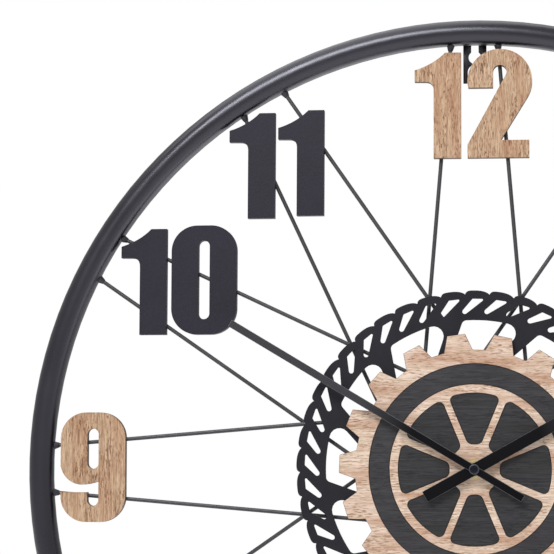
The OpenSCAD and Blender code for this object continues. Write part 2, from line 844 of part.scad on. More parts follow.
module dial_washer() {
    color("#c2a04e") dial() slab(plate_front, washer_t) ring(washer_r, neck_r + pass_gap);
}

module dial_nut() {
    color("#c2a04e") dial() slab(washer_front, nut_t) difference() {
        circle(r = nut_w / 2 / cos(30), $fn = 6);
        circle(neck_r + let_gap);
    }
}

// A plain bar hand with square ends, pointing up
module hand_outline(length, width, bore_r) {
    difference() {
        translate([-width / 2, -tail_l]) square([width, tail_l + length]);
        circle(bore_r);
    }
}

module hour_hand() {
    color("#141416") dial() slab(hour_back, hand_t) {
        difference() {
            union() {
                rotate(-hour_angle) hand_outline(hour_l, hour_w, hour_tube_r);
                circle(hour_tube_r + 1.2 * hand_t);
            }
            circle(hour_tube_r);
        }
    }
}

module minute_hand() {
    color("#141416") dial() slab(minute_back, hand_t) difference() {
        union() {
            rotate(-minute_angle) hand_outline(minute_l, minute_w, minute_arbor_r);
            circle(minute_arbor_r + hand_t);
        }
        circle(minute_arbor_r);
    }
}

// The domed nut that holds the minute hand
module cap_nut() {
    color("#2e2e33") dial() difference() {
        translate([0, minute_front, 0]) rotate([90, 0, 0]) rotate_extrude() intersection() {
            square([cap_r, cap_h]);
            translate([0, cap_h - 1.6 * cap_r]) circle(1.6 * cap_r);
        }
        bar([0, 0], minute_front + over, minute_front - cap_grip_share * cap_h, minute_arbor_r);
    }
}

// Outline of a toothed wheel, turned anticlockwise by its phase
function wheel_points(teeth, mod, phase) =
    let (pitch_r = teeth * mod / 2,
        base_r = pitch_r * cos(pressure),
        out_r = pitch_r + addendum_share * mod,
        in_r = pitch_r - dedendum_share * mod,
        half = 90 / teeth - backlash_share * mod / pitch_r * 90 / PI,
        radii = [in_r, max(in_r, base_r), (max(in_r, base_r) + out_r) / 2, out_r],
        edge = [for (r = radii) [r, half_tooth(r, base_r, half)]])
    [for (i = [0:teeth - 1]) let (a = phase + i * 360 / teeth) each concat(
        [for (e = edge) e[0] * [cos(a - e[1]), sin(a - e[1])]],
        [for (k = [3:-1:0]) edge[k][0] * [cos(a + edge[k][1]), sin(a + edge[k][1])]])];

module wheel(at, back, teeth, mod, phase) {
    translate([at[0], 0, at[1]]) slab(back, wheel_t) polygon(wheel_points(teeth, mod, phase));
}

// A wheel's arbor with a thin pivot at each end
module arbor(at, front, back) {
    bar(at, back, front, arbor_r);
    bar(at, back + train_t, front - case_floor / 2, pivot_r);
}

module movement_square(half, r) {
    rounded_box(-half, half, -half, half, r);
}

module movement_case() {
    train_front = train_y - train_t;
    color("#232326") dial() difference() {
        union() {
            difference() {
                slab(move_back, move_d) movement_square(move_w / 2, case_corner_r);
                slab(move_back + over, move_d - case_floor + over) {
                    rounded_box(-case_in, case_in, -case_in, bay_top, case_wall);
                    rounded_box(-case_in, case_in, bay_wall_top, case_in, case_wall);
                }
                slab(move_back + over, case_floor + over)
                    translate([-move_w, bay_wall_top - case_wall / 2]) square([2 * move_w, move_w]);
            }
            bar([0, 0], floor_y, neck_end, neck_r);
            for (p = train_posts()) {
                bar(p, train_front, floor_y - case_floor / 2, post_r);
                bar(p, train_front + train_t, floor_y, pin_r);
            }
            for (p = stator_posts()) {
                bar(p, stator_y - stator_t, floor_y - case_floor / 2, post_r);
                bar(p, stator_y, floor_y, pin_r);
            }
            bar(motion_at, level(2), floor_y - case_floor / 2, arbor_r);
        }
        bar([0, 0], floor_y + over, neck_end - over, neck_bore_r);
        for (p = [third_at, drive_at, rotor_at, setting_at])
            bar(p, floor_y + over, floor_y - 0.6 * case_floor, pivot_r + run_gap);
    }
}

// Places of the posts that carry the train plate and the stator
function train_posts() = let (x = case_in - 1.5 * post_r)
    [[-x, bay_wall_top + 1.5 * post_r], [x, bay_wall_top + 1.5 * post_r], [-x, x], [x, x]];
function stator_posts() = [[-stator_l() + stator_band, rotor_at[1]], [rotor_at[0], core_z()]];
function core_z() = rotor_at[1] + magnet_r + stator_gap + 1.3 * coil_r + core_w;
function stator_l() = 0.72 * case_in;

module movement_cover() {
    cup_floor = move_back - knob_cup_d;
    color("#232326") dial() difference() {
        union() {
            slab(move_back, case_floor) intersection() {
                movement_square(move_w / 2, case_corner_r);
                translate([-move_w, bay_wall_top - case_wall / 2 + seat_gap])
                    square([2 * move_w, move_w]);
            }
            bar(setting_at, move_back, cup_floor - case_floor, knob_cup_r + case_floor);
        }
        bar(setting_at, move_back + over, cup_floor, knob_cup_r);
        bar(setting_at, move_back + over, cup_floor - case_floor - over, knob_shaft_r + run_gap);
    }
}

module train_plate() {
    color("#d8d6cf") dial() slab(train_y, train_t) difference() {
        rounded_box(-case_in + seat_gap, case_in - seat_gap, bay_wall_top + seat_gap,
            case_in - seat_gap, case_wall);
        for (p = train_posts()) translate(p) circle(pin_r + let_gap);
        for (p = [[0, 0], third_at, drive_at, rotor_at]) translate(p) circle(pivot_r + run_gap);
        translate(setting_at) circle(knob_shaft_r + pass_gap);
    }
}

module hour_wheel() {
    color("#e9e6dc") dial() difference() {
        union() {
            wheel([0, 0], level(1), hour_teeth, hour_module, hour_phase);
            bar([0, 0], level(1), hour_front, hour_tube_r);
        }
        bar([0, 0], level(1) + over, hour_front - over, hour_bore_r);
    }
}

module minute_arbor() {
    color("#c8c6bf") dial() difference() {
        union() {
            bar([0, 0], level(3), minute_front - cap_grip_share * cap_h, minute_arbor_r);
            wheel([0, 0], level(2), cannon_teeth, motion_module, 0);
        }
        bar([0, 0], level(3) + over, level(3) - seconds_depth, pivot_r + run_gap);
    }
}

module motion_wheel() {
    color("#e9e6dc") dial() difference() {
        union() {
            wheel(motion_at, level(2), motion_teeth, motion_module, motion_phase);
            wheel(motion_at, level(1), motion_pinion, hour_module, motion_phase);
            bar(motion_at, level(2), level(1), 0.8 * motion_pinion * hour_module / 2);
        }
        bar(motion_at, level(2) + over, level(1) - wheel_t - over, arbor_r + run_gap);
    }
}

module setting_knob() {
    knob_back = move_back - knob_cup_d + knob_t + 2 * run_gap;
    color("#3c3c40") dial() {
        difference() {
            bar(setting_at, knob_back, knob_back - knob_t, knob_r);
            for (i = [0:knob_notches - 1])
                bar(setting_at + pol(knob_r, i * 360 / knob_notches), knob_back + over,
                    knob_back - knob_t - over, 0.07 * knob_r);
        }
        bar(setting_at, knob_back - knob_t, level(2) - wheel_t, knob_shaft_r);
        bar(setting_at, level(2), floor_y - case_floor / 2, pivot_r);
        wheel(setting_at, level(2), setting_teeth, motion_module, setting_phase);
    }
}

module centre_wheel() {
    color("#e9e6dc") dial() difference() {
        wheel([0, 0], level(3), centre_teeth, centre_module, 0);
        bar([0, 0], level(3) + over, level(3) - wheel_t - over, minute_arbor_r + run_gap);
    }
}

module third_wheel() {
    color("#e9e6dc") dial() {
        arbor(third_at, floor_y + level_gap / 2, train_y - train_t - level_gap / 2);
        wheel(third_at, level(3), third_pinion, centre_module, third_phase);
        wheel(third_at, level(4), third_teeth, third_module, third_phase);
        bar(third_at, level(4) - wheel_t, level(3), arbor_r);
    }
}

module seconds_wheel() {
    color("#e9e6dc") dial() {
        bar([0, 0], train_y - train_t - level_gap / 2, level(3) + level_gap / 4, arbor_r);
        bar([0, 0], train_y, level(3) - 0.8 * seconds_depth, pivot_r);
        wheel([0, 0], level(4), seconds_pinion, third_module, seconds_phase);
        wheel([0, 0], level(5), seconds_teeth, seconds_module, seconds_phase);
    }
}

module drive_wheel() {
    color("#e9e6dc") dial() {
        arbor(drive_at, floor_y + level_gap / 2, train_y - train_t - level_gap / 2);
        wheel(drive_at, level(5), drive_pinion, seconds_module, drive_phase);
        wheel(drive_at, level(6), drive_teeth, drive_module, drive_phase);
    }
}

module stepping_rotor() {
    mid = stator_y - stator_t / 2;
    color("#54555a") dial() {
        arbor(rotor_at, floor_y + level_gap / 2, train_y - train_t - level_gap / 2);
        wheel(rotor_at, level(6), rotor_pinion, drive_module, rotor_phase);
        bar(rotor_at, mid + magnet_l / 2, mid - magnet_l / 2, magnet_r);
    }
}

// A closed band of iron: the core through the coil, two legs and the poles round the rotor
module stator() {
    x = stator_l();
    pole_r = magnet_r + stator_gap + stator_band / 2;
    right = rotor_at[0] + pole_r;
    color("#9b9ca0") dial() slab(stator_y, stator_t) difference() {
        union() {
            translate([-x, rotor_at[1] - stator_band]) square([x + rotor_at[0], 2 * stator_band]);
            translate([-x, rotor_at[1]]) square([2 * stator_band, core_z() - rotor_at[1] + core_w / 2]);
            translate([-x, core_z() - core_w / 2]) square([x + right, core_w]);
            translate([rotor_at[0] - stator_band, rotor_at[1]])
                square([right - rotor_at[0] + stator_band, core_z() - rotor_at[1]]);
            translate([rotor_at[0], core_z()]) circle(1.2 * post_r);
            translate(rotor_at) circle(pole_r);
        }
        translate(rotor_at) circle(magnet_r + stator_gap);
        for (p = stator_posts()) translate(p) circle(pin_r + let_gap);
    }
}

// Bobbin and winding on the stator's core
module coil() {
    x0 = -stator_l() + 2 * stator_band + seat_gap;
    x1 = rotor_at[0] - 1.3 * stator_band;
    mid = stator_y - stator_t / 2;
    color("#b5651d") dial() difference() {
        translate([x0, mid, core_z()]) rotate([0, 90, 0]) union() {
            cylinder(h = x1 - x0, r = 0.84 * coil_r);
            cylinder(h = coil_flange_t, r = coil_r);
            translate([0, 0, x1 - x0 - coil_flange_t]) cylinder(h = coil_flange_t, r = coil_r);
        }
        translate([x0 - over, mid - stator_t / 2 - let_gap, core_z() - core_w / 2 - let_gap])
            cube([x1 - x0 + 2 * over, stator_t + 2 * let_gap, core_w + 2 * let_gap]);
    }
}

module circuit_board() {
    color("#2f6b4a") dial() slab(train_y + board_t, board_t)
        rounded_box(-0.8 * case_in, -0.1 * case_in, 0.4 * case_in, 0.85 * case_in, case_wall);
}

module quartz_crystal() {
    x = -0.6 * case_in;
    color("#c9cacc") dial() translate([x, train_y + board_t + crystal_r, 0.6 * case_in])
        rotate([0, 90, 0]) cylinder(h = 8 * crystal_r, r = crystal_r);
}

// Leaf contacts at the two ends of the battery bay, each with a rounded dimple
module battery_contacts() {
    mid = (bay_top - case_in) / 2;
    half = bay_w / 3;
    depth = (floor_y + move_back) / 2;
    color("#c4c5c8") dial() for (side = [-1, 1]) {
        difference() {
            union() {
                translate([side * (case_in - contact_t / 2), depth, mid])
                    cube([contact_t, 2 * half, 2 * half], center = true);
                translate([side * (case_in - contact_t), depth, mid]) rotate([0, -side * 90, 0])
                    cylinder(h = 2 * contact_t, r1 = half / 2, r2 = half / 4);
            }
            translate([side * (case_in + move_w / 2), depth, mid]) cube(move_w, center = true);
        }
    }
}

rim_tube();
rim_weld();
hanger_plate();
spoke_welds();
spoke_pair(1);  // spokes_01
spoke_pair(2);  // spokes_02
spoke_pair(3);  // spokes_03
spoke_pair(4);  // spokes_04
spoke_pair(5);  // spokes_05
spoke_pair(6);  // spokes_06
spoke_pair(7);  // spokes_07
spoke_pair(8);  // spokes_08
spoke_pair(9);  // spokes_09
spoke_pair(10);  // spokes_10
spoke_pair(11);  // spokes_11
spoke_pair(12);  // spokes_12
numeral(1, "#2f2f34");  // numeral_01
numeral(2, "#2f2f34");  // numeral_02
numeral(3, "#c49a73");  // numeral_03
numeral(4, "#2f2f34");  // numeral_04
numeral(5, "#2f2f34");  // numeral_05
numeral(6, "#c49a73");  // numeral_06
numeral(7, "#2f2f34");  // numeral_07
numeral(8, "#2f2f34");  // numeral_08
numeral(9, "#c49a73");  // numeral_09
numeral(10, "#2f2f34");  // numeral_10
numeral(11, "#2f2f34");  // numeral_11
numeral(12, "#c49a73");  // numeral_12
hub_flange();
hub_spacers();
hub_screws();
rotor_disc();
toothed_plate();
ring_inlay();
wedge_inlays();
movement_gasket();
movement_case();
movement_cover();
dial_washer();
dial_nut();
hour_hand();
hour_wheel();
minute_hand();
minute_arbor();
cap_nut();
motion_wheel();
setting_knob();
centre_wheel();
third_wheel();
seconds_wheel();
drive_wheel();
stepping_rotor();
train_plate();
stator();
coil();
circuit_board();
quartz_crystal();
battery_contacts();
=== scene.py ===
import json
import math

import bpy
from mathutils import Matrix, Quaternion, Vector

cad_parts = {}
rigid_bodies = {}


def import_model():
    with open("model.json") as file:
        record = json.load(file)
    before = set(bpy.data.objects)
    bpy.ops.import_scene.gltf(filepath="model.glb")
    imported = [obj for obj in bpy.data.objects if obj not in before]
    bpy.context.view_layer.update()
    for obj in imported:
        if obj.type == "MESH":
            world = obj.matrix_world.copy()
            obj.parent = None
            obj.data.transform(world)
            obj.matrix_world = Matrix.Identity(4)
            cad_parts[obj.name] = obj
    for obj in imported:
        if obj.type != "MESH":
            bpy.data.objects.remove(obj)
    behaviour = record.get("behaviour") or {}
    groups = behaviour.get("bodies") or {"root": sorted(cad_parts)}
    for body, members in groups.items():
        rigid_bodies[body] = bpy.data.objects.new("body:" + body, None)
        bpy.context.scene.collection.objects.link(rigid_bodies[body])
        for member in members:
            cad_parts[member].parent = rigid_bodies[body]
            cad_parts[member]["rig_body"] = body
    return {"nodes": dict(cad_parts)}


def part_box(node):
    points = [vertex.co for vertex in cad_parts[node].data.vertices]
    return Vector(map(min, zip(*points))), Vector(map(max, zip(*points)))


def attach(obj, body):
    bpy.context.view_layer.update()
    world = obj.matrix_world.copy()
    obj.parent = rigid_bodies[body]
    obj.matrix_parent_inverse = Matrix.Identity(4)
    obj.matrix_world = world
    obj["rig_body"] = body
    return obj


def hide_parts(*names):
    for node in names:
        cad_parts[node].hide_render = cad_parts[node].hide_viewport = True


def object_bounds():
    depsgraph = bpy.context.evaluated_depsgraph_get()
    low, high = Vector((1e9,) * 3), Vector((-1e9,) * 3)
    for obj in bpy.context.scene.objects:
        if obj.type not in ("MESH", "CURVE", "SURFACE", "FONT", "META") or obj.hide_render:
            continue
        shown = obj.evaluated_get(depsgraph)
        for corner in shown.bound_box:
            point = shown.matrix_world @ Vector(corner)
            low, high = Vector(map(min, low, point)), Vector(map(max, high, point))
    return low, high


bl_info = {
    "name": "Spoked wheel wall clock",
    "version": (1, 0, 0),
    "blender": (4, 5, 0),
    "location": "View3D > Sidebar > Wheel Clock",
    "description": "Dresses the wheel clock with its finishes, fine pieces, light and camera",
    "category": "Object",
}

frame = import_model()
NODES = frame["nodes"]
CAD_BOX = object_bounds()
MM = 0.001
HOURS = ["%02d" % n for n in range(1, 13)]
WOODEN = ("03", "06", "09", "12")
LOW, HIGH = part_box("rim_tube")
# The dial's centre, on the wall plane
DIAL = Vector((0.0, 0.0, (LOW.z + HIGH.z) / 2))

# Corners up to SMOOTH_ANGLE are shaded smooth and those over EDGE_ANGLE are broken by a bevel.
# Triangles within FLAT_ANGLE become one face, and points within MERGE_DISTANCE one point.
SMOOTH_ANGLE = math.radians(32)
EDGE_ANGLE = math.radians(38)
FLAT_ANGLE = math.radians(0.4)
MERGE_DISTANCE = 0.002 * MM

# The cap nut, lathed: a skirt, a rounded shoulder, a groove and a low dome
CAP_RINGS = ((0.0, 0.95), (0.12, 1.0), (2.1, 1.0), (2.45, 0.96), (2.7, 0.88), (2.8, 0.8),
             (2.7, 0.75), (2.72, 0.7), (2.84, 0.55), (2.93, 0.38), (2.98, 0.2), (3.0, 0.02))

# The weld under the rim: drops side by side, each with these half sizes as shares of the space
# between two drops and of the run's depth and height, melted together at WELD_VOXEL
WELD_RIPPLES = 9
WELD_DROP = (0.72, 0.52, 0.46)
WELD_VOXEL = 0.14 * MM

# Sprayed enamel mirrors a little cooler than the light on it
COOL_SHEEN = (0.87, 0.885, 1.0, 1.0)
# Over this stretch from the dial's centre the hands' lacquer goes from its black to a grey that is
# a painted reflection on their outer part
REFLECTION_FADE_MM = (58.0, 90.0)
# The axis that the grain of a veneer runs along
ALONG_X, ALONG_Z = 0, 2

# The stage, in metres and watts, each place from the dial's centre
FLOOR_SIZE = 12.0
FLOOR_DROP = 0.25
FLOOR_GLOW = 0.4
WORLD_LIGHT = 0.4
MIRRORED_WORLD = 0.32
LAMPS = (
    ("front softbox", (-0.5, -1.33, 1.12), (0.75, 0.62), 21.0),
    ("top softbox", (-0.45, 0.24, 1.5), (1.9, 1.4), 11.0),
    ("floor bounce", (0.25, 0.15, -0.5), (2.3, 0.7), 5.4),
)

# The photograph's camera: lens in millimetres, its turn to the side, up and about its axis in
# degrees, the point on its axis that it was fitted to, and its distance from that point
LENS = 173.443
SENSOR = 36.0
NEAR, FAR = 0.1, 50.0
CAMERA_TURNS = (6.349, -4.348, 0.1302)
CAMERA_AIM = Vector((-0.125933, -0.0095, 0.122118))
CAMERA_DISTANCE = 1.7


def linear(colour):
    """The linear colour of an sRGB hex value."""
    def channel(v):
        v /= 255
        return v / 12.92 if v <= 0.04045 else ((v + 0.055) / 1.055) ** 2.4
    return tuple(channel(int(colour[i:i + 2], 16)) for i in (1, 3, 5)) + (1.0,)


def add(tree, kind, settings=None, links=None):
    """Adds a node with its settings; links gives a value or a socket for an input."""
    node = tree.nodes.new(kind)
    for key, value in (settings or {}).items():
        setattr(node, key, value)
    for key, value in (links or {}).items():
        if isinstance(value, bpy.types.NodeSocket):
            tree.links.new(value, node.inputs[key])
        else:
            node.inputs[key].default_value = value
    return node


def new_material(name, shader):
    """A Principled material with its tree, its shader and the place on the object.

    The place is in millimetres from the dial's centre.
    """
    material = bpy.data.materials.new(name)
    material.use_nodes = True
    tree = material.node_tree
    tree.nodes.clear()
    principled = add(tree, "ShaderNodeBsdfPrincipled", None, shader)
    add(tree, "ShaderNodeOutputMaterial", None, {"Surface": principled.outputs["BSDF"]})
    place = add(tree, "ShaderNodeTexCoord")
    about = add(tree, "ShaderNodeVectorMath", {"operation": "SUBTRACT"},
                {0: place.outputs["Object"], 1: DIAL})
    scaled = add(tree, "ShaderNodeVectorMath", {"operation": "SCALE"},
                 {0: about.outputs["Vector"], "Scale": 1 / MM})
    return material, tree, principled, scaled.outputs["Vector"]


def noise(tree, place, size_mm, detail=2.0, rough=0.5):
    """Noise whose grain is as large as given along X, Y and Z, in millimetres."""
    stretched = add(tree, "ShaderNodeVectorMath", {"operation": "DIVIDE"}, {0: place, 1: size_mm})
    node = add(tree, "ShaderNodeTexNoise", None,
               {"Vector": stretched.outputs["Vector"], "Scale": 1.0, "Detail": detail,
                "Roughness": rough})
    return node.outputs["Fac"]


def ramp(tree, value, stops):
    """Colours along a value, from pairs of position and linear colour."""
    node = add(tree, "ShaderNodeValToRGB", None, {0: value})
    elements = node.color_ramp.elements
    while len(elements) < len(stops):
        elements.new(0.5)
    for element, (position, colour) in zip(elements, stops):
        element.position = position
        element.color = colour
    return node.outputs["Color"]


def mix(tree, factor, first, second):
    """One colour over another by a factor."""
    node = add(tree, "ShaderNodeMix", {"data_type": "RGBA"}, {0: factor, 6: first, 7: second})
    return node.outputs[2]


def spread(tree, value, low, high, start=0.3, end=0.7):
    """Maps a pattern's middle range to low and high."""
    node = add(tree, "ShaderNodeMapRange", None,
               {"Value": value, "From Min": start, "From Max": end,
                "To Min": low, "To Max": high})
    return node.outputs["Result"]


def raise_by(tree, principled, height, depth_mm):
    """Bumps the surface by a pattern whose full depth is given in millimetres."""
    node = add(tree, "ShaderNodeBump", None,
               {"Height": height, "Distance": depth_mm * MM, "Strength": 1.0})
    tree.links.new(node.outputs["Normal"], principled.inputs["Normal"])


def tint(colour, factor):
    """A linear colour made lighter or darker."""
    return tuple(min(1.0, c * factor) for c in colour[:3]) + (1.0,)


def slanted(tree, most, least, start, end):
    """A factor that is greatest on edges and sides, and least on faces turned forward or back."""
    facing = add(tree, "ShaderNodeTexCoord").outputs["Normal"]
    parts = add(tree, "ShaderNodeSeparateXYZ", None, {0: facing})
    flat = add(tree, "ShaderNodeMath", {"operation": "ABSOLUTE"}, {0: parts.outputs["Y"]})
    return spread(tree, flat.outputs[0], most, least, start, end)


def enamel(name, colour, roughness, specular=0.5, grain_mm=0.8, depth_mm=0.012, edge=None,
           painted_reflection=None):
    """Sprayed enamel: a fine orange peel and a faint drift of tone and gloss from the spray.

    An edge colour is a painted highlight on sharp edges and sides, an outer one a painted
    reflection far from the dial's axis.
    """
    material, tree, principled, place = new_material(
        name, {"IOR": 1.5, "Specular IOR Level": specular, "Specular Tint": COOL_SHEEN})
    peel = noise(tree, place, (grain_mm,) * 3, 2.0)
    drift = noise(tree, place, (38.0, 38.0, 38.0), 4.0)
    fleck = noise(tree, place, (2.6, 2.6, 2.6), 3.0)
    tone = ramp(tree, drift, [(0.3, tint(colour, 0.86)), (0.7, tint(colour, 1.22))])
    tone = mix(tree, spread(tree, fleck, 0.0, 0.35, 0.45, 0.75), tone, tint(colour, 1.5))
    # The outer colour is a painted reflection, lighter far from the dial's axis
    if painted_reflection:
        far = add(tree, "ShaderNodeVectorMath", {"operation": "LENGTH"}, {0: place})
        tone = mix(tree, spread(tree, far.outputs["Value"], 0.0, 1.0, *REFLECTION_FADE_MM), tone, painted_reflection)
    # The edge colour is a painted highlight on edges and sides
    if edge:
        tone = mix(tree, slanted(tree, 0.9, 0.0, 0.75, 0.95), tone, edge)
    tree.links.new(tone, principled.inputs["Base Color"])
    tree.links.new(spread(tree, drift, roughness - 0.05, roughness + 0.06),
                   principled.inputs["Roughness"])
    raise_by(tree, principled, peel, depth_mm)
    return material


def timber(name, light, middle, dark, red, cut, along, pore_mm, pore_length_mm):
    """Sealed veneer: long streaks of grain, short dark pores in clusters and scorched cut edges.

    along is the axis of the grain.
    """
    material, tree, principled, place = new_material(
        name, {"IOR": 1.45, "Specular IOR Level": 0.3})

    def stretched(width_mm, length_mm):
        size = [width_mm] * 3
        size[along] = length_mm
        return size
    streak = noise(tree, place, stretched(1.6 * pore_mm, 6.0 * pore_length_mm), 6.0, 0.75)
    band = noise(tree, place, stretched(8.0, 70.0), 3.0)
    figure = noise(tree, place, stretched(3.2, 15.0), 4.0, 0.6)
    crowd = noise(tree, place, stretched(6.0, 17.0), 3.0)
    pore = noise(tree, place, stretched(pore_mm, pore_length_mm), 2.0, 0.6)
    tone = ramp(tree, streak, [(0.32, dark), (0.47, middle), (0.64, light)])
    warm = mix(tree, spread(tree, band, 0.0, 0.6, 0.46, 0.64), tone, red)
    pale = mix(tree, spread(tree, figure, 0.0, 0.45, 0.5, 0.66), warm, light)
    depth = spread(tree, crowd, 0.3, 1.0, 0.4, 0.6)
    marks = add(tree, "ShaderNodeMath", {"operation": "MULTIPLY"},
                {0: depth, 1: spread(tree, pore, 0.0, 0.95, 0.51, 0.62)})
    veined = mix(tree, marks.outputs[0], pale, dark)
    coloured = mix(tree, slanted(tree, 0.88, 0.0, 0.72, 0.96), veined, cut)
    tree.links.new(coloured, principled.inputs["Base Color"])
    tree.links.new(spread(tree, streak, 0.62, 0.5), principled.inputs["Roughness"])
    raise_by(tree, principled, pore, 0.03)
    return material


def metal(name, colour, roughness, brushed_mm=None):
    """Bare metal, with fine tool lines across it where it is brushed or turned."""
    material, tree, principled, place = new_material(name, {"Metallic": 1.0})
    lines = noise(tree, place, brushed_mm or (0.8, 0.8, 0.8), 3.0)
    drift = noise(tree, place, (6.0, 6.0, 6.0), 3.0)
    tone = mix(tree, spread(tree, drift, 0.0, 0.5), tint(colour, 0.86), tint(colour, 1.1))
    tree.links.new(tone, principled.inputs["Base Color"])
    tree.links.new(spread(tree, lines, roughness - 0.06, roughness + 0.1),
                   principled.inputs["Roughness"])
    raise_by(tree, principled, lines, 0.01)
    return material


def plastic(name, colour, roughness, grain_mm=0.35, depth_mm=0.02):
    """Moulded plastic: spark-eroded grain from the mould and a slightly cloudy tone."""
    material, tree, principled, place = new_material(name, {"IOR": 1.46})
    grain = noise(tree, place, (grain_mm,) * 3, 2.0)
    cloud = noise(tree, place, (14.0, 14.0, 14.0), 3.0)
    tone = ramp(tree, cloud, [(0.3, tint(colour, 0.9)), (0.7, tint(colour, 1.12))])
    tree.links.new(tone, principled.inputs["Base Color"])
    tree.links.new(spread(tree, grain, roughness - 0.05, roughness + 0.08),
                   principled.inputs["Roughness"])
    raise_by(tree, principled, grain, depth_mm)
    return material


def winding(name, colour):
    """Lacquered copper wire wound side by side: fine ribs round the coil, with painted shade
    between the turns and a painted highlight on each turn.
    """
    material, tree, principled, place = new_material(name, {"Metallic": 1.0})
    turns = add(tree, "ShaderNodeTexWave", {"bands_direction": "X"},
                {"Vector": place, "Scale": 1.2, "Distortion": 0.3})
    # Darker between the turns and lighter on each: painted shade and a painted highlight
    tone = mix(tree, turns.outputs["Fac"], tint(colour, 0.45), tint(colour, 1.2))
    tree.links.new(tone, principled.inputs["Base Color"])
    principled.inputs["Roughness"].default_value = 0.32
    raise_by(tree, principled, turns.outputs["Fac"], 0.12)
    return material


def board(name, mask, copper):
    """Fibreglass board under solder mask: tracks and pads show through in a lighter pattern."""
    material, tree, principled, place = new_material(name, {"IOR": 1.5, "Roughness": 0.35})
    flat = add(tree, "ShaderNodeMapping", None,
               {"Vector": place, "Rotation": (math.pi / 2, 0, 0)})
    tracks = add(tree, "ShaderNodeTexBrick", None,
                 {"Vector": flat.outputs["Vector"], "Color1": (0, 0, 0, 1),
                  "Color2": (0.1, 0.1, 0.1, 1), "Mortar": (1, 1, 1, 1), "Scale": 0.5,
                  "Mortar Size": 0.09, "Brick Width": 3.4, "Row Height": 1.2})
    weave = noise(tree, place, (0.5, 0.5, 0.5), 2.0)
    base = mix(tree, spread(tree, weave, 0.0, 0.4), mask, tint(mask, 1.5))
    tree.links.new(mix(tree, tracks.outputs["Color"], base, copper),
                   principled.inputs["Base Color"])
    raise_by(tree, principled, tracks.outputs["Fac"], 0.05)
    return material


def deselect():
    """Leaves nothing selected."""
    bpy.ops.object.select_all(action="DESELECT")


def hold(piece):
    """Makes a piece the only one selected, and active."""
    deselect()
    piece.select_set(True)
    bpy.context.view_layer.objects.active = piece


def coat(piece, material):
    """Gives a piece one material all over."""
    piece.data.materials.clear()
    piece.data.materials.append(material)


def dress(material, *names):
    """Gives CAD nodes their material."""
    for name in names:
        coat(NODES[name], material)


def use(piece, kind, **settings):
    """Adds a modifier with its settings and applies it."""
    hold(piece)
    modifier = piece.modifiers.new(kind.title(), kind)
    for key, value in settings.items():
        setattr(modifier, key, value)
    bpy.ops.object.modifier_apply(modifier=modifier.name)


def softened(name, material, width, segments=1):
    """A copy of a CAD node, its triangles merged and its sharp edges broken by a small bevel."""
    piece = bpy.data.objects.new(name + "_eased", NODES[name].data.copy())
    bpy.context.scene.collection.objects.link(piece)
    hold(piece)
    bpy.ops.object.mode_set(mode="EDIT")
    bpy.ops.mesh.select_all(action="SELECT")
    bpy.ops.mesh.remove_doubles(threshold=MERGE_DISTANCE)
    bpy.ops.mesh.dissolve_limited(angle_limit=FLAT_ANGLE)
    bpy.ops.object.mode_set(mode="OBJECT")
    use(piece, "BEVEL", width=width, segments=segments, limit_method="ANGLE",
        angle_limit=EDGE_ANGLE, use_clamp_overlap=True)
    settle(piece, material, NODES[name]["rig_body"], name)


def turned(name, rings, material, vertices=64):
    """A piece lathed about the dial's axis in place of a CAD node.

    rings are pairs of millimetres in front of the node's back and shares of its radius, from
    the back forwards.
    """
    low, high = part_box(name)
    radius = (high.x - low.x) / 2
    centre = Vector(((low.x + high.x) / 2, high.y, (low.z + high.z) / 2))
    deselect()
    depth, share = rings[0]
    bpy.ops.mesh.primitive_circle_add(
        vertices=vertices, radius=share * radius, fill_type="NGON",
        location=centre - Vector((0, depth * MM, 0)), rotation=(math.pi / 2, 0, 0))
    piece = bpy.context.active_object
    piece.name = name + "_turned"
    bpy.ops.object.mode_set(mode="EDIT")
    for (depth, share), (next_depth, next_share) in zip(rings, rings[1:]):
        bpy.ops.mesh.extrude_region_move(
            TRANSFORM_OT_translate={"value": (0, (depth - next_depth) * MM, 0)})
        scale = next_share / share
        bpy.ops.transform.resize(value=(scale, 1, scale),
                                 center_override=centre - Vector((0, next_depth * MM, 0)))
    bpy.ops.mesh.select_all(action="SELECT")
    bpy.ops.mesh.normals_make_consistent(inside=False)
    bpy.ops.object.mode_set(mode="OBJECT")
    settle(piece, material, NODES[name]["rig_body"], name)


def rippled(name, material, ripples):
    """A run of weld in place of a CAD node: overlapping drops of metal, melted into one."""
    low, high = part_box(name)
    size = high - low
    pitch = size.x / ripples
    deselect()
    bpy.ops.mesh.primitive_uv_sphere_add(
        segments=20, ring_count=12, radius=1.0,
        location=(low.x + pitch / 2, (low.y + high.y) / 2, (low.z + high.z) / 2))
    piece = bpy.context.active_object
    piece.name = name + "_rippled"
    bpy.ops.object.mode_set(mode="EDIT")
    across, deep, tall = WELD_DROP
    bpy.ops.transform.resize(value=(across * pitch, deep * size.y, tall * size.z))
    bpy.ops.object.mode_set(mode="OBJECT")
    use(piece, "ARRAY", count=ripples, use_relative_offset=False, use_constant_offset=True,
        constant_offset_displace=(pitch, 0, 0))
    use(piece, "REMESH", mode="VOXEL", voxel_size=WELD_VOXEL, use_smooth_shade=True)
    settle(piece, material, NODES[name]["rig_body"], name)


def settle(piece, material, body, *nodes):
    """Applies a piece's place, smooths and coats it and hangs it on its body for its nodes."""
    hold(piece)
    bpy.ops.object.transform_apply(location=True, rotation=True, scale=True)
    bpy.ops.object.shade_smooth_by_angle(angle=SMOOTH_ANGLE)
    coat(piece, material)
    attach(piece, body)
    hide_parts(*nodes)


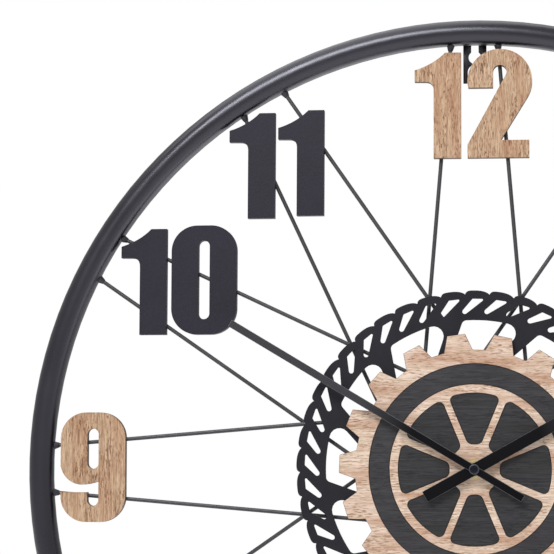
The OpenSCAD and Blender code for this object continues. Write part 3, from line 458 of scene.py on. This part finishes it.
def seen(tree, mirrored):
    """How far a ray counts as seen: 1 from the camera or through glass, mirrored in a shine."""
    path = add(tree, "ShaderNodeLightPath")
    shiny = add(tree, "ShaderNodeMath", {"operation": "MULTIPLY"},
                {0: path.outputs["Is Glossy Ray"], 1: mirrored})
    either = add(tree, "ShaderNodeMath", {"operation": "MAXIMUM"},
                 {0: path.outputs["Is Camera Ray"], 1: shiny.outputs[0]})
    either = add(tree, "ShaderNodeMath", {"operation": "MAXIMUM"},
                 {0: either.outputs[0], 1: path.outputs["Is Transmission Ray"]})
    return either.outputs[0]


def lay_floor():
    """The pale floor under the clock, which keeps its shadow."""
    low, _ = CAD_BOX
    bpy.ops.mesh.primitive_plane_add(size=FLOOR_SIZE, location=(0, 0, low.z - FLOOR_DROP))
    floor = bpy.context.active_object
    floor.name = "floor"
    material, tree, principled, place = new_material("Pale studio floor", {"Roughness": 0.9})
    cloud = noise(tree, place, (300.0, 300.0, 300.0), 2.0)
    tree.links.new(ramp(tree, cloud, [(0.3, linear("#f4f4f4")), (0.7, linear("#fafafa"))]),
                   principled.inputs["Base Color"])
    principled.inputs["Emission Color"].default_value = (1, 1, 1, 1)
    tree.links.new(spread(tree, seen(tree, 1.0), 0.0, FLOOR_GLOW, 0.0, 1.0),
                   principled.inputs["Emission Strength"])
    coat(floor, material)


def light_world(scene):
    """A white backdrop to the eye, which lights the clock at a plain level."""
    world = bpy.data.worlds.new("Plain studio")
    world.use_nodes = True
    scene.world = world
    tree = world.node_tree
    tree.nodes.clear()
    strength = spread(tree, seen(tree, MIRRORED_WORLD), WORLD_LIGHT, 1.0, 0.0, 1.0)
    background = add(tree, "ShaderNodeBackground", None,
                     {"Color": (1, 1, 1, 1), "Strength": strength})
    add(tree, "ShaderNodeOutputWorld", None, {"Surface": background.outputs["Background"]})


def lamp(scene, name, place, size, watts):
    """A softbox turned to the dial's centre."""
    data = bpy.data.lights.new(name, "AREA")
    data.shape = "RECTANGLE"
    data.size, data.size_y = size
    data.energy = watts
    thing = bpy.data.objects.new(name, data)
    scene.collection.objects.link(thing)
    thing.visible_camera = False
    thing.location = DIAL + Vector(place)
    thing.rotation_mode = "QUATERNION"
    thing.rotation_quaternion = (-Vector(place)).to_track_quat("-Z", "Y")


def aim_camera(scene):
    """The photograph's own view."""
    data = bpy.data.cameras.new("camera")
    data.lens = LENS
    data.sensor_width = SENSOR
    data.clip_start, data.clip_end = NEAR, FAR
    camera = bpy.data.objects.new("camera", data)
    scene.collection.objects.link(camera)
    across, up, roll = (math.radians(v) for v in CAMERA_TURNS)
    back = Vector((math.sin(across) * math.cos(up), -math.cos(across) * math.cos(up), math.sin(up)))
    camera.rotation_mode = "QUATERNION"
    camera.rotation_quaternion = (-back).to_track_quat("-Z", "Y") @ Quaternion((0, 0, 1), roll)
    camera.location = DIAL + CAMERA_AIM + back * CAMERA_DISTANCE
    scene.camera = camera


def colour_prop(name, colour, text):
    """A colour setting with its default from an sRGB hex value."""
    return bpy.props.FloatVectorProperty(name=name, description=text, subtype="COLOR", size=4,
                                         min=0, max=1, default=linear(colour))


def size_prop(name, value_mm, text):
    """A length setting with its default in millimetres."""
    return bpy.props.FloatProperty(name=name, description=text, default=value_mm * MM, min=0.0,
                                   precision=5, subtype="DISTANCE", unit="LENGTH")


class WheelClockColours(bpy.types.PropertyGroup):
    """Colours of the clock's finishes."""
    steel: colour_prop("Rim enamel", "#0f0a12", "Enamel of the rim, the hanger and the flange")
    rod: colour_prop("Spoke enamel", "#3c3c3d", "Enamel of the spokes")
    digit: colour_prop("Numeral enamel", "#201d25", "Enamel of the dark numerals")
    sheet: colour_prop("Rotor enamel", "#141318", "Enamel of the lobed rotor")
    hand: colour_prop("Hand lacquer", "#0a0a0b", "Lacquer of both hands")
    wood_light: colour_prop("Wood, light", "#d7bb9c", "Lightest streaks of the wood")
    wood: colour_prop("Wood", "#b39276", "Main tone of the wood")
    wood_dark: colour_prop("Wood, dark", "#704b32", "Pores and dark streaks of the wood")
    wood_red: colour_prop("Wood, red", "#ab7d5f", "Reddish bands of the wood")
    plate_light: colour_prop("Plate, light", "#f0dbce", "Lightest streaks of the toothed plate")
    plate: colour_prop("Plate", "#dcc5ae", "Main tone of the toothed plate")
    plate_dark: colour_prop("Plate, dark", "#8e6447", "Pores and dark streaks of the toothed plate")
    plate_red: colour_prop("Plate, red", "#b17e5f", "Reddish bands of the toothed plate")
    scorch: colour_prop("Cut edge", "#3d2b20", "Scorched edge left by the cutter")
    brass: colour_prop("Brass", "#e0cf9c", "Washer and nut under the hands")


class WheelClockSizes(bpy.types.PropertyGroup):
    """Small sizes of the clock's finishing."""
    digit_ease: size_prop("Numeral edge", 0.5, "Width of the broken edge of a numeral")
    sheet_ease: size_prop("Sheet edge", 0.18, "Width of the broken edge of rotor and hanger")
    plate_ease: size_prop("Plate edge", 0.5, "Width of the broken edge of the toothed plate")
    inlay_ease: size_prop("Inlay edge", 0.25, "Width of the broken edge of an inlay")
    hand_ease: size_prop("Hand edge", 0.24, "Width of the broken edge of a hand")


class ClockPart:
    """What the clock's operators share."""
    bl_options = {"REGISTER", "UNDO"}

    def settings(self, context):
        """The colours and the sizes of the sidebar."""
        return context.scene.clock_colours, context.scene.clock_sizes


class WHEELCLOCK_OT_rim(ClockPart, bpy.types.Operator):
    """Finishes the rim tube, its weld and the hanger plate"""
    bl_idname = "wheelclock.rim"
    bl_label = "Rim and hanger"

    def execute(self, context):
        colours, sizes = self.settings(context)
        coated = enamel("Satin enamel on steel tube", colours.steel, roughness=0.3, specular=0.75,
                        depth_mm=0.003)
        dress(coated, "rim_tube")
        softened("hanger_plate", coated, sizes.sheet_ease, segments=2)
        weld = enamel("Satin enamel on weld metal", colours.steel, roughness=0.34)
        rippled("rim_weld", weld, WELD_RIPPLES)
        return {"FINISHED"}


class WHEELCLOCK_OT_spokes(ClockPart, bpy.types.Operator):
    """Finishes the spokes and their welds at the rim"""
    bl_idname = "wheelclock.spokes"
    bl_label = "Spokes"

    def execute(self, context):
        colours, _ = self.settings(context)
        coated = enamel("Satin enamel on drawn wire", colours.rod, roughness=0.36, specular=0.4)
        dress(coated, *["spokes_" + hour for hour in HOURS])
        dress(enamel("Satin enamel on spoke welds", linear("#26262a"), roughness=0.4),
              "spoke_welds")
        return {"FINISHED"}


class WHEELCLOCK_OT_numerals(ClockPart, bpy.types.Operator):
    """Finishes the twelve numerals"""
    bl_idname = "wheelclock.numerals"
    bl_label = "Numerals"

    def execute(self, context):
        colours, sizes = self.settings(context)
        dark = enamel("Matt enamel on cut board", colours.digit, roughness=0.5, specular=0.26,
                      grain_mm=1.6, depth_mm=0.05)
        wood = timber("Sealed veneer with upright grain", colours.wood_light, colours.wood,
                      colours.wood_dark, colours.wood_red, colours.scorch, along=ALONG_Z,
                      pore_mm=0.62, pore_length_mm=3.4)
        for hour in HOURS:
            softened("numeral_" + hour, wood if hour in WOODEN else dark, sizes.digit_ease)
        return {"FINISHED"}


class WHEELCLOCK_OT_hub(ClockPart, bpy.types.Operator):
    """Finishes the rotor, the toothed plate, its inlays and the hub's steel"""
    bl_idname = "wheelclock.hub"
    bl_label = "Rotor and toothed plate"

    def execute(self, context):
        colours, sizes = self.settings(context)
        sheet = enamel("Satin enamel on cut sheet", colours.sheet, roughness=0.42, specular=0.34)
        softened("rotor_disc", sheet, sizes.sheet_ease)
        wood = timber("Sealed veneer with level grain", colours.plate_light, colours.plate,
                      colours.plate_dark, colours.plate_red, colours.scorch, along=ALONG_X,
                      pore_mm=0.5, pore_length_mm=4.0)
        softened("toothed_plate", wood, sizes.plate_ease)
        stain = timber("Black stained veneer", linear("#424145"), linear("#373639"),
                       linear("#262528"), linear("#333033"), linear("#15100d"), along=ALONG_X,
                       pore_mm=0.7, pore_length_mm=6.0)
        softened("ring_inlay", stain, sizes.inlay_ease)
        dark_stain = timber("Black stained veneer, second coat", linear("#3d3d40"),
                            linear("#303032"), linear("#1f1f21"), linear("#2c2c2c"),
                            linear("#15100d"), along=ALONG_X, pore_mm=0.7, pore_length_mm=6.0)
        softened("wedge_inlays", dark_stain, sizes.inlay_ease)
        dress(enamel("Satin enamel on plate steel", colours.steel, roughness=0.4),
              "hub_flange", "hub_spacers")
        dress(metal("Zinc plated steel", linear("#b9bbbf"), 0.3), "hub_screws")
        dress(metal("Turned brass", colours.brass, 0.3), "dial_washer", "dial_nut")
        return {"FINISHED"}


class WHEELCLOCK_OT_hands(ClockPart, bpy.types.Operator):
    """Finishes the hands and their nut"""
    bl_idname = "wheelclock.hands"
    bl_label = "Hands"

    def execute(self, context):
        colours, sizes = self.settings(context)
        # The hands' grey edge colour is a painted highlight, and their outer grey a painted
        # reflection
        lacquer = enamel("Black lacquer on stamped aluminium", colours.hand, roughness=0.42,
                         specular=0.1, edge=linear("#66676c"), painted_reflection=linear("#3f3f42"))
        softened("hour_hand", lacquer, sizes.hand_ease)
        softened("minute_hand", lacquer, sizes.hand_ease)
        # The cap's grey edge colour is a painted highlight on its shoulder and groove
        cap_lacquer = enamel("Black lacquer on turned nut", linear("#0b0c18"), roughness=0.16,
                             specular=0.22, depth_mm=0.004, edge=linear("#5a5e68"))
        turned("cap_nut", CAP_RINGS, cap_lacquer)
        return {"FINISHED"}


class WHEELCLOCK_OT_movement(ClockPart, bpy.types.Operator):
    """Finishes the quartz movement and its train"""
    bl_idname = "wheelclock.movement"
    bl_label = "Movement"

    def execute(self, context):
        dress(plastic("Moulded ABS", linear("#1c1c1e"), 0.5), "movement_case", "movement_cover")
        dress(plastic("Moulded ABS knob", linear("#2d2d30"), 0.42), "setting_knob")
        dress(plastic("Rubber gasket", linear("#121212"), 0.8, grain_mm=0.6, depth_mm=0.03),
              "movement_gasket")
        dress(plastic("Moulded acetal", linear("#e6e2d6"), 0.38, grain_mm=0.5, depth_mm=0.01),
              "hour_wheel", "motion_wheel", "centre_wheel", "third_wheel", "seconds_wheel",
              "drive_wheel", "train_plate")
        dress(metal("Turned steel", linear("#c9c9c6"), 0.25), "minute_arbor")
        dress(metal("Ground magnet", linear("#5b5c60"), 0.35), "stepping_rotor")
        dress(metal("Stamped soft iron", linear("#9da0a5"), 0.4, (0.5, 0.5, 9.0)), "stator")
        dress(winding("Lacquered copper wire", linear("#c46a35")), "coil")
        dress(board("Fibreglass under solder mask", linear("#1e5a3c"), linear("#5d9a6d")),
              "circuit_board")
        dress(metal("Drawn nickel silver", linear("#d4d4d2"), 0.2), "quartz_crystal")
        dress(metal("Nickel plated spring steel", linear("#cfcfca"), 0.28, (0.4, 6.0, 0.4)),
              "battery_contacts")
        return {"FINISHED"}


class WHEELCLOCK_OT_stage(ClockPart, bpy.types.Operator):
    """Makes the floor, the lamps, the world and the camera"""
    bl_idname = "wheelclock.stage"
    bl_label = "Stage"

    def execute(self, context):
        scene = context.scene
        scene.view_settings.view_transform = "Standard"
        deselect()
        lay_floor()
        light_world(scene)
        for name, place, size, watts in LAMPS:
            lamp(scene, name, place, size, watts)
        aim_camera(scene)
        return {"FINISHED"}


PARTS = (WHEELCLOCK_OT_rim, WHEELCLOCK_OT_spokes, WHEELCLOCK_OT_numerals, WHEELCLOCK_OT_hub,
         WHEELCLOCK_OT_hands, WHEELCLOCK_OT_movement, WHEELCLOCK_OT_stage)


class WHEELCLOCK_PT_sidebar(bpy.types.Panel):
    """Lists the clock's operators and settings"""
    bl_label = "Wheel Clock"
    bl_idname = "WHEELCLOCK_PT_sidebar"
    bl_space_type = "VIEW_3D"
    bl_region_type = "UI"
    bl_category = "Wheel Clock"

    def draw(self, context):
        for part in PARTS:
            self.layout.operator(part.bl_idname)
        for group in (context.scene.clock_colours, context.scene.clock_sizes):
            for key in group.__annotations__:
                self.layout.prop(group, key)


CLASSES = (WheelClockColours, WheelClockSizes, *PARTS, WHEELCLOCK_PT_sidebar)


def register():
    for kind in CLASSES:
        bpy.utils.register_class(kind)
    bpy.types.Scene.clock_colours = bpy.props.PointerProperty(type=WheelClockColours)
    bpy.types.Scene.clock_sizes = bpy.props.PointerProperty(type=WheelClockSizes)


def unregister():
    del bpy.types.Scene.clock_sizes
    del bpy.types.Scene.clock_colours
    for kind in reversed(CLASSES):
        bpy.utils.unregister_class(kind)


def main():
    register()
    bpy.ops.wheelclock.rim()
    bpy.ops.wheelclock.spokes()
    bpy.ops.wheelclock.numerals()
    bpy.ops.wheelclock.hub()
    bpy.ops.wheelclock.hands()
    bpy.ops.wheelclock.movement()
    bpy.ops.wheelclock.stage()


if __name__ == "__main__":
    main()
